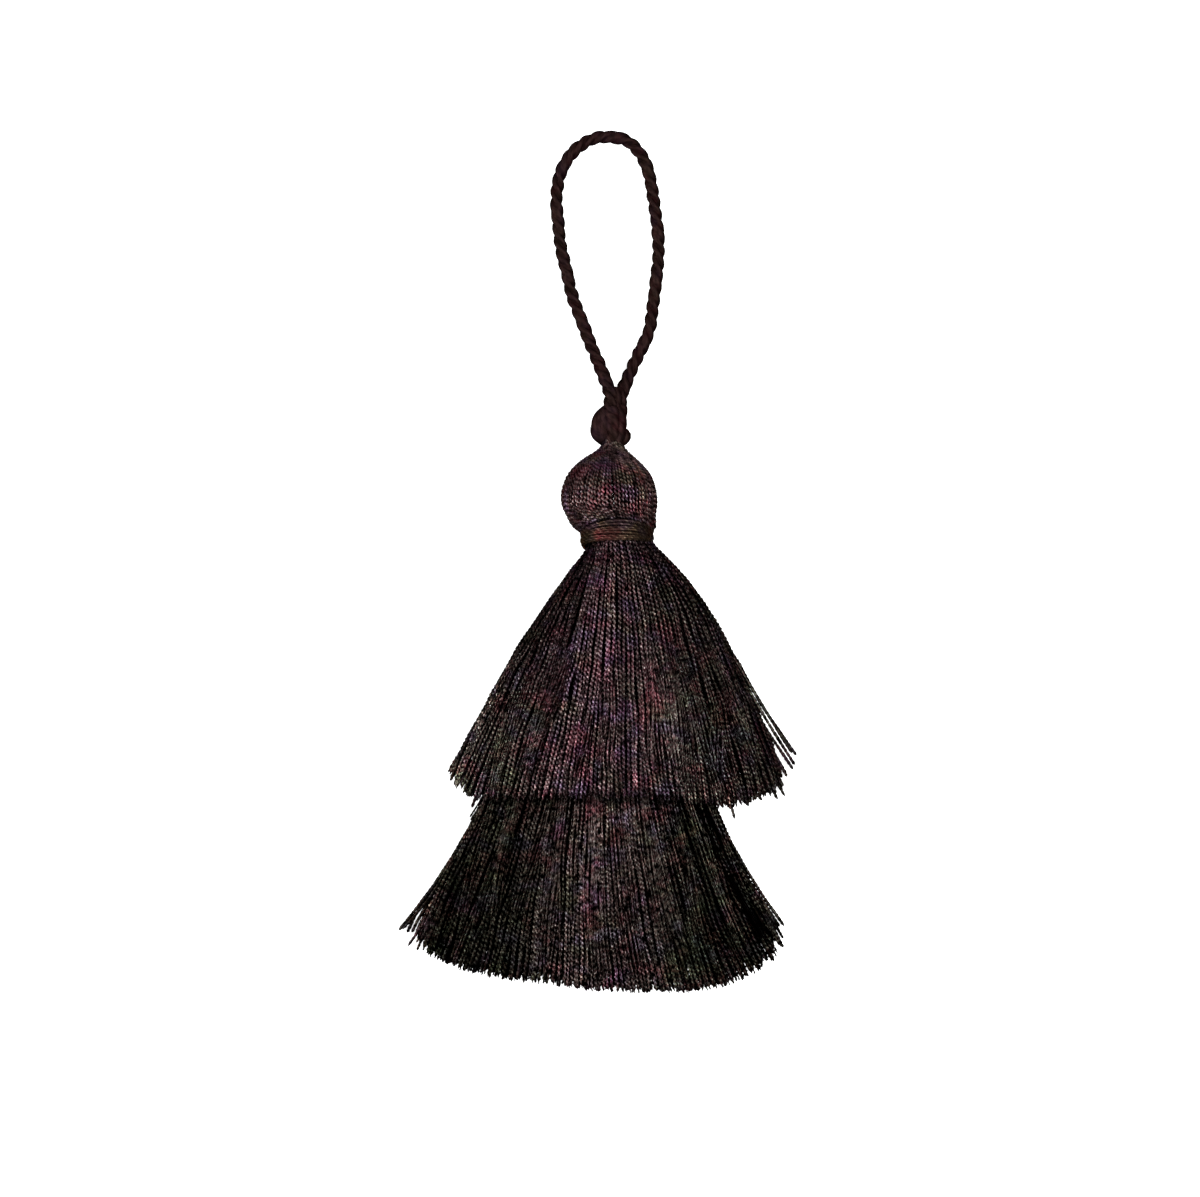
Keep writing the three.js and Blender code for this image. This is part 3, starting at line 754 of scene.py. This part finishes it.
# Each layer: its height on the neck, its place towards the hems, and how far its turns stray along
# the neck and out of it.
for height, shift, wobble, heave in ((0.12, 0.14, 0, 0), (0.42, 0, 0.10, 0.08)):
    wobbling = wobble * np.sin(winding_angle * 1.37 + 1) * np.sin(winding_angle * 0.31)
    edge = BAND_FILL - 2 * BAND_FILL * winding + wobbling
    along = BAND_ALONG + edge * BAND_SIDE / 2 + band_edge(winding_angle, edge) - shift
    reach = NECK_RADIUS + height + heave * np.sin(winding_angle * 0.73)
    line = facing * reach[:, None]
    line = line + np.stack([np.zeros_like(along), along, np.full_like(along, NECK_HEIGHT)], 1)
    turned = lengths_along(line)[:, None] * 2 * math.pi / (THREAD_LAY * 1.5)
    outline = ply_reach(2, wrap_corners, WRAP_GIRTH)
    binding_bundle.lay(line, facing, wrap_radii, turned + wrap_corners, outline, 0.8)
binding = binding_bundle.mesh("binding", binding_yarn)
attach(binding, "root")
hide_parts("neck_binding")


# Upper skirt
# The threads of the head go on below the neck and fan out over the lower skirt. They are cut almost
# straight across, and the longest lie on the table at each side.
UPPER_NECK = [
    (5.75, -0.85, 5.9),
    (3.5, -0.35, 9.2),
    (0.0, -0.05, 10.3),
    (-3.15, -0.5, 9.1),
    (-4.3, -0.9, 5.9),
    (-3.0, -2.0, 2.9),
    (0.0, -2.6, 1.7),
    (3.2, -2.0, 2.9),
]
UPPER_MIDDLE = [
    (15.2, -14.6, 4.0),
    (13.3, -15.8, 7.2),
    (8.5, -16.7, 9.8),
    (0.5, -17.0, 11.0),
    (-7.2, -16.7, 9.8),
    (-11.9, -15.6, 7.2),
    (-13.8, -14.4, 4.0),
    (-11.2, -14.9, 1.4),
    (-6.0, -15.8, -0.2),
    (0.5, -16.1, -0.4),
    (7.0, -15.8, -0.2),
    (12.8, -14.9, 1.4),
]
UPPER_HEM = [
    (22.0, -30.7, 1.1),
    (21.6, -32.7, 2.7),
    (19.2, -33.8, 4.7),
    (15.2, -34.9, 6.5),
    (8.3, -33.8, 8.6),
    (0.3, -33.4, 9.3),
    (-7.7, -33.5, 8.7),
    (-14.4, -33.7, 6.8),
    (-20.1, -33.4, 4.2),
    (-22.6, -30.2, 1.1),
    (-18.4, -30.0, 0.35),
    (-7.7, -31.2, 0.35),
    (7.7, -31.2, 0.35),
    (18.6, -30.0, 0.35),
]
UPPER_STRAYS = [
    [(16.1, -15.2, 4.3), (19.6, -21.3, 3.3), (24.0, -27.7, 1.6)],
    [(16.4, -16.8, 3.9), (20.0, -23.0, 2.7), (23.8, -29.0, 1.0)],
    [(17.4, -20.5, 3.2), (20.4, -24.9, 2.3), (23.6, -29.6, 0.6)],
    [(17.8, -21.5, 3.0), (20.3, -26.1, 2.0), (22.8, -30.6, 0.5)],
    [(15.5, -14.5, 4.7), (19.0, -20.4, 3.8), (23.4, -27.4, 2.2)],
    [(18.6, -23.7, 2.4), (20.9, -27.2, 1.5), (22.7, -30.3, 0.4)],
    [(18.4, -24.5, 2.6), (20.6, -28.6, 1.6), (22.3, -31.9, 0.5)],
    [(18.3, -26.0, 2.9), (20.4, -29.6, 1.8), (22.5, -33.2, 0.6)],
    [(18.0, -27.0, 3.3), (19.9, -30.6, 2.2), (21.5, -33.6, 1.2)],
    [(18.2, -25.2, 2.7), (20.5, -29.2, 1.7), (22.2, -32.4, 0.5)],
    [(-18.3, -22.6, 2.2), (-20.2, -26.2, 1.2), (-22.2, -29.8, 0.4)],
    [(-18.0, -24.5, 2.9), (-19.6, -28.0, 1.9), (-20.9, -31.9, 0.7)],
    [(-18.0, -24.0, 2.6), (-19.5, -27.6, 1.8), (-20.7, -31.4, 0.8)],
    [(-17.8, -24.6, 2.7), (-19.1, -28.2, 2.0), (-20.1, -32.3, 1.0)],
    [(-17.4, -25.6, 3.1), (-18.8, -29.4, 2.2), (-19.7, -33.0, 1.0)],
    [(-17.2, -29.0, 3.9), (-18.5, -32.2, 3.2), (-19.4, -34.7, 2.5)],
    [(-18.3, -23.0, 2.6), (-20.2, -27.0, 1.5), (-21.9, -30.6, 0.5)],
    [(-18.3, -23.9, 2.6), (-20.0, -27.5, 1.6), (-21.4, -31.1, 0.5)],
    [(-17.6, -25.2, 3.0), (-19.2, -29.0, 2.0), (-20.3, -32.7, 0.8)],
    [(-16.8, -25.4, 3.6), (-18.4, -29.2, 2.7), (-19.5, -33.3, 1.2)],
    [(16.0, -28.5, 4.8), (18.0, -32.0, 3.9), (19.4, -33.7, 3.0)],
    [(14.6, -29.5, 5.6), (16.4, -33.0, 4.7), (17.6, -34.4, 3.6)],
    [(13.4, -30.0, 6.0), (15.1, -34.0, 5.0), (15.7, -36.1, 3.8)],
]
SKIRT_COLOUR = (0.185, 0.178, 0.178, 1)
SKIRT_CREASE_SHADE_COLOUR = (0.19, 0.063, 0.080, 1)
UPPER_SHOULDER = (0.7, 0.08)
UPPER_LOOSE = [(0.0, 0.17, 12, 0.03), (0.17, 0.33, 8, 0.02), (0.33, 0.49, 10, 0.03)]
# Each layer inside a skirt: how deep it lies, up to where along it is shown, and how light painted shade
# leaves it.
UPPER_INSIDES = [(0.5, 100.0, 0.7), (1.0, -25.0, 0.3), (1.5, -30.0, 0.3), (2.05, -30.0, 0.3)]
THREAD_PITCH = 0.57
FRONT_STEP = THREAD_LAY / 6
INNER_STEP = THREAD_LAY / 5
LOOSE_RADIUS = 0.24
STRAY_RADIUS = 0.26
# Painted shade across the upper skirt: darker towards both sides.
UPPER_PAINTED_SIDE_SHADE = [(-0.02, 0.45), (0.08, 0.55), (0.17, 1), (0.33, 0.95), (0.42, 0.65), (0.52, 0.5), (1, 0.7)]
# Painted light and shade along the upper skirt: lighter towards the hem, darker towards the neck.
UPPER_PAINTED_SHADE_ALONG = [(-33, 1.2), (-28.5, 0.86), (-18, 0.67), (-6, 0.6), (0, 0.57)]
# Painted shade on loose threads: darker away from the middle of the front.
LOOSE_PAINTED_SIDE_SHADE = [(0, 0.6), (0.16, 0.6), (0.2, 1), (0.3, 1), (0.34, 0.6), (1, 0.6)]
skirt_yarn = yarn("skirt_yarn", SKIRT_COLOUR, SKIRT_CREASE_SHADE_COLOUR, 0.5, (8, 0.8, 1), 0.22, 0.03, 3.0)


def skirt_surface(neck, middle, hem, shoulder):
    """A skirt through three rings, at a turn round it and a share of the way from neck to hem. The
    shoulder is how far its right side bulges out between neck and middle, and its left side in."""
    bulge_scale = 9.5  # brings the highest point of share * (1 - share) ** 3 to 1
    ring_points = 2001
    rings = []
    for rows in (neck, middle, hem):
        curve = curve_through(rows, closed=True)
        rings.append(at_lengths(curve, np.linspace(0, lengths_along(curve)[-1], ring_points)))
    marks = np.linspace(0, 1, ring_points)

    def surface(turn, share):
        turn, share = np.broadcast_arrays(turn, share)
        turn = turn % 1
        top, half, end = (
            np.stack([np.interp(turn, marks, column) for column in ring.T], -1) for ring in rings
        )
        share = share[..., None]
        point = top * 2 * (share - 0.5) * (share - 1) + half * 4 * share * (1 - share)
        point = point + end * 2 * share * (share - 0.5)
        side = np.cos(turn * 2 * math.pi)
        bulge = np.where(side > 0, side * shoulder[0], -side * shoulder[1]) * bulge_scale
        point[..., 0] += bulge * np.clip(share[..., 0] + 0.03, 0, 1) * (1 - share[..., 0]) ** 3
        point[..., 2] = np.maximum(point[..., 2], THREAD_RADIUS)
        return point

    return surface


def threads_for(surface, first, last):
    """How many threads fit side by side along a hem."""
    ruler = surface(np.linspace(first, last, 200), np.ones(200))
    return int(lengths_along(ruler)[-1] / THREAD_PITCH)


def loose_lines(surface, rng, groups, first, last, slant):
    """A few threads side by side, many times over, that lie across the others at a slant."""
    lines = []
    for _ in range(groups):
        start, stop = rng.uniform(0.3, 0.65), rng.uniform(0.86, 1.0)
        here = rng.uniform(first, last)
        there = here + rng.uniform(-slant, slant)
        for member in range(rng.integers(1, 5)):
            way = np.linspace(0, 1, 40)
            share = start + (stop - start - rng.uniform(0, 0.05)) * way
            turn = here + member * 0.006 + (there - here) * way + 0.0015 * np.sin(way * 9 + member)
            out, _ = directions_on(surface, turn, share)
            raised = 0.5 * smooth(way * 6) - 0.2
            line = surface(turn, share) + out * raised[:, None]
            run = lengths_along(line)
            lines.append((line, out, turn, run, run[-1]))
    return lines


def lay_loose(bundle, surface, rng, parts, down, shown=100.0):
    """Loose threads on each part of a skirt: from which turn to which, how many groups, how slanted."""
    for first, last, groups, slant in parts:
        lines = loose_lines(surface, rng, groups, first, last, slant)
        lay_threads(
            bundle, rng, lines, INNER_CORNERS, INNER_STEP, shown, radius=LOOSE_RADIUS,
            light=LOOSE_PAINTED_SIDE_SHADE, down=down
        )


def lay_strays(bundle, rng, rows_of_strays, radius):
    """Threads that have come right away from the skirt, each along its own table's rows. They are
    darker and rounder than the rest, with short thin ends."""
    lines = []
    for rows in rows_of_strays:
        line = curve_through(rows)
        run = lengths_along(line)
        up = np.tile((0.0, 0.0, 1.0), (len(line), 1))
        lines.append((line, up, np.zeros(len(line)), run, run[-1]))
    lay_threads(
        bundle, rng, lines, SEEN_CORNERS, INNER_STEP, radius=radius, inner_shade_and_tone=0.5, girth=0.7, fray=0.4
    )


upper = skirt_surface(UPPER_NECK, UPPER_MIDDLE, UPPER_HEM, UPPER_SHOULDER)
upper_numbers = np.random.default_rng(7)
upper_count = threads_for(upper, -0.02, 0.52)
upper_front = Bundle()
front_lines = spread_threads(
    upper, upper_numbers, upper_count, -0.02, 0.53, top=-0.07, packed=0.78, depth=0.0, wander=0.45,
    heave=0.3, clumping=0.03, ends=0.03
)
lay_threads(
    upper_front, upper_numbers, front_lines, SEEN_CORNERS, FRONT_STEP, light=UPPER_PAINTED_SIDE_SHADE,
    down=UPPER_PAINTED_SHADE_ALONG
)
lay_loose(upper_front, upper, upper_numbers, UPPER_LOOSE, UPPER_PAINTED_SHADE_ALONG)
lay_strays(upper_front, upper_numbers, UPPER_STRAYS, STRAY_RADIUS)
front = upper_front.mesh("upper_front", skirt_yarn)
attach(front, "root")
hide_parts("head_and_upper_skirt")

upper_inside = Bundle()
for depth, shown, inner_shade_and_tone in UPPER_INSIDES:
    lines = spread_threads(
        upper, upper_numbers, upper_count, -0.01, 0.5, top=-0.07, packed=0.78, depth=depth,
        wander=0.4, heave=0.2, clumping=0, ends=0.05
    )
    lay_threads(
        upper_inside, upper_numbers, lines, INNER_CORNERS, INNER_STEP, shown, light=UPPER_PAINTED_SIDE_SHADE,
        down=UPPER_PAINTED_SHADE_ALONG, inner_shade_and_tone=inner_shade_and_tone
    )
inside = upper_inside.mesh("upper_inside", skirt_yarn)
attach(inside, "root")
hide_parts("head_and_upper_skirt")

upper_back = Bundle()
back_count = threads_for(upper, 0.5, 1.0)
lines = spread_threads(
    upper, upper_numbers, back_count, 0.5, 1.0, top=-0.07, packed=0.78, depth=0.0, wander=0.4,
    heave=0.15, clumping=0.05, ends=0.03
)
lay_threads(upper_back, upper_numbers, lines, INNER_CORNERS, INNER_STEP)
back = upper_back.mesh("upper_back", skirt_yarn)
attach(back, "root")
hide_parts("head_and_upper_skirt")


# Lower skirt
# A longer bunch of the same threads comes out from inside the upper one, as thick again and fanned
# wider. Its lowest threads rest on the table.
LOWER_NECK = [
    (3.2, -1.0, 5.9),
    (0.0, -1.0, 8.1),
    (-3.2, -1.0, 5.9),
    (0.0, -1.0, 3.7),
]
LOWER_MIDDLE = [
    (10.9, -28.6, 3.4),
    (9.0, -29.4, 5.0),
    (4.3, -29.8, 6.1),
    (-1.7, -30.0, 6.4),
    (-8.2, -29.7, 5.9),
    (-13.4, -29.0, 4.6),
    (-15.4, -28.0, 3.1),
    (-11.0, -28.4, 1.8),
    (-1.5, -29.0, 1.75),
    (7.2, -28.8, 1.8),
]
LOWER_HEM = [
    (21.7, -51.8, 1.0),
    (21.3, -54.8, 2.1),
    (18.2, -57.1, 3.4),
    (12.9, -59.0, 4.8),
    (5.6, -59.4, 5.7),
    (-2.4, -59.2, 5.9),
    (-9.9, -58.35, 5.4),
    (-17.3, -57.35, 4.2),
    (-22.95, -55.8, 2.8),
    (-26.35, -53.65, 1.5),
    (-27.4, -51.2, 0.8),
    (-20.0, -51.6, -1.2),
    (-2.0, -56.2, -1.4),
    (15.0, -54.0, -1.2),
]
FRAY_RADIUS = 0.17
LOWER_SHOWN = -32.5
LOWER_LOOSE = [(0.0, 0.18, 14, 0.03), (0.18, 0.32, 7, 0.02), (0.32, 0.49, 14, 0.03)]
LOWER_INSIDES = [
    (0.5, LOWER_SHOWN, 0.7),
    (1.05, -53.0, 0.3),
    (1.6, -56.0, 0.3),
    (2.15, -56.0, 0.3),
    (2.7, -56.0, 0.3),
    (3.25, -56.0, 0.3),
]
LOWER_BACKS = [(0.0, -31.0), (0.55, -54.0)]
# Painted light and shade across the lower skirt: lighter in the middle, much darker at both sides.
LOWER_PAINTED_SIDE_SHADE = [(-0.02, 0.3), (0.11, 0.4), (0.17, 1.15), (0.32, 1.15), (0.37, 0.3), (0.52, 0.3), (1, 0.6)]
LOWER_STRAYS = [
    [(13.2, -35.6, 3.0), (15.9, -40.5, 2.4), (19.0, -45.7, 1.6), (22.4, -50.6, 0.5)],
    [(18.4, -45.6, 1.8), (20.6, -49.3, 1.2), (22.3, -52.3, 0.4)],
    [(18.7, -46.9, 1.9), (20.7, -50.4, 1.3), (22.3, -53.5, 0.4)],
    [(18.0, -44.9, 1.7), (20.1, -48.1, 1.1), (21.8, -50.7, 0.4)],
    [(-19.2, -36.4, 2.4), (-22.2, -41.5, 1.9), (-25.2, -46.0, 1.3), (-29.2, -51.2, 0.4)],
    [(-19.2, -37.0, 2.2), (-22.1, -41.9, 1.7), (-24.9, -46.0, 1.1), (-26.8, -48.8, 0.7), (-28.1, -51.5, 0.4)],
    [(-19.1, -37.0, 2.0), (-22.0, -42.0, 1.5), (-24.6, -46.3, 0.9), (-26.2, -48.9, 0.6), (-27.5, -51.5, 0.3)],
    [(-22.0, -42.0, 1.9), (-24.5, -47.2, 1.2), (-26.2, -50.6, 0.7), (-28.0, -53.3, 0.3)],
    [(-19.6, -37.6, 2.4), (-22.4, -42.3, 1.9), (-25.0, -46.6, 1.4), (-28.7, -51.0, 0.6)],
    [(-20.3, -39.0, 2.0), (-22.9, -44.9, 1.4), (-24.9, -49.2, 0.9), (-26.8, -53.9, 0.3)],
]
LOWER_FRAYS = [
    [(-17.0, -33.2, 2.6), (-18.9, -36.3, 2.3), (-21.6, -40.6, 1.6)],
    [(-17.3, -33.6, 2.5), (-18.8, -36.4, 2.2), (-21.5, -41.0, 1.6)],
    [(-17.6, -32.6, 2.9), (-18.8, -34.6, 2.6), (-19.7, -36.0, 2.4)],
    [(-17.1, -32.6, 2.9), (-18.4, -34.6, 2.6), (-19.6, -36.4, 2.3)],
    [(-16.6, -32.8, 2.8), (-18.0, -34.9, 2.5), (-19.4, -36.8, 2.2)],
]
# Painted shadow and light along the lower skirt: much darker where it comes out from under the upper hem, and
# lighter just below that.
LOWER_PAINTED_SHADOW_ALONG = [(-57, 0.95), (-53, 0.95), (-40, 1.05), (-37, 1.35), (-34.6, 1.3), (-33.9, 0.37)]
LOWER_COLOUR = (0.092, 0.092, 0.087, 1)
LOWER_CREASE_SHADE_COLOUR = (0.088, 0.040, 0.038, 1)
lower_yarn = yarn("lower_yarn", LOWER_COLOUR, LOWER_CREASE_SHADE_COLOUR, 0.5, (8, 0.8, 1), 0.22, 0.03, 4.0)
lower = skirt_surface(LOWER_NECK, LOWER_MIDDLE, LOWER_HEM, (0, 0))
lower_numbers = np.random.default_rng(9)
lower_count = threads_for(lower, -0.02, 0.51)
lower_front = Bundle()
front_lines = spread_threads(
    lower, lower_numbers, lower_count, -0.02, 0.51, top=0.2, packed=0.85, depth=0.0, wander=0.5,
    heave=0.3, clumping=0.04, ends=0.02
)
lay_threads(
    lower_front, lower_numbers, front_lines, SEEN_CORNERS, FRONT_STEP, LOWER_SHOWN,
    light=LOWER_PAINTED_SIDE_SHADE, down=LOWER_PAINTED_SHADOW_ALONG
)
lay_loose(lower_front, lower, lower_numbers, LOWER_LOOSE, LOWER_PAINTED_SHADOW_ALONG, LOWER_SHOWN)
lay_strays(lower_front, lower_numbers, LOWER_STRAYS, STRAY_RADIUS)
lay_strays(lower_front, lower_numbers, LOWER_FRAYS, FRAY_RADIUS)
front = lower_front.mesh("lower_front", lower_yarn)
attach(front, "root")
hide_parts("lower_skirt")

lower_inside = Bundle()
for depth, shown, inner_shade_and_tone in LOWER_INSIDES:
    lines = spread_threads(
        lower, lower_numbers, lower_count, -0.01, 0.505, top=0.1, packed=0.85, depth=depth,
        wander=0.5, heave=0.25, clumping=0, ends=0.04
    )
    lay_threads(
        lower_inside, lower_numbers, lines, INNER_CORNERS, INNER_STEP, shown, light=LOWER_PAINTED_SIDE_SHADE,
        down=LOWER_PAINTED_SHADOW_ALONG, inner_shade_and_tone=inner_shade_and_tone
    )
inside = lower_inside.mesh("lower_inside", lower_yarn)
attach(inside, "root")
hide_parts("lower_skirt")

lower_back = Bundle()
back_count = threads_for(lower, 0.5, 1.0)
for depth, shown in LOWER_BACKS:
    lines = spread_threads(
        lower, lower_numbers, back_count, 0.5, 1.0, top=0.1, packed=0.85, depth=depth, wander=0.4,
        heave=0.15, clumping=0.05, ends=0.03
    )
    lay_threads(lower_back, lower_numbers, lines, INNER_CORNERS, INNER_STEP, shown)
back = lower_back.mesh("lower_back", lower_yarn)
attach(back, "root")
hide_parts("lower_skirt")
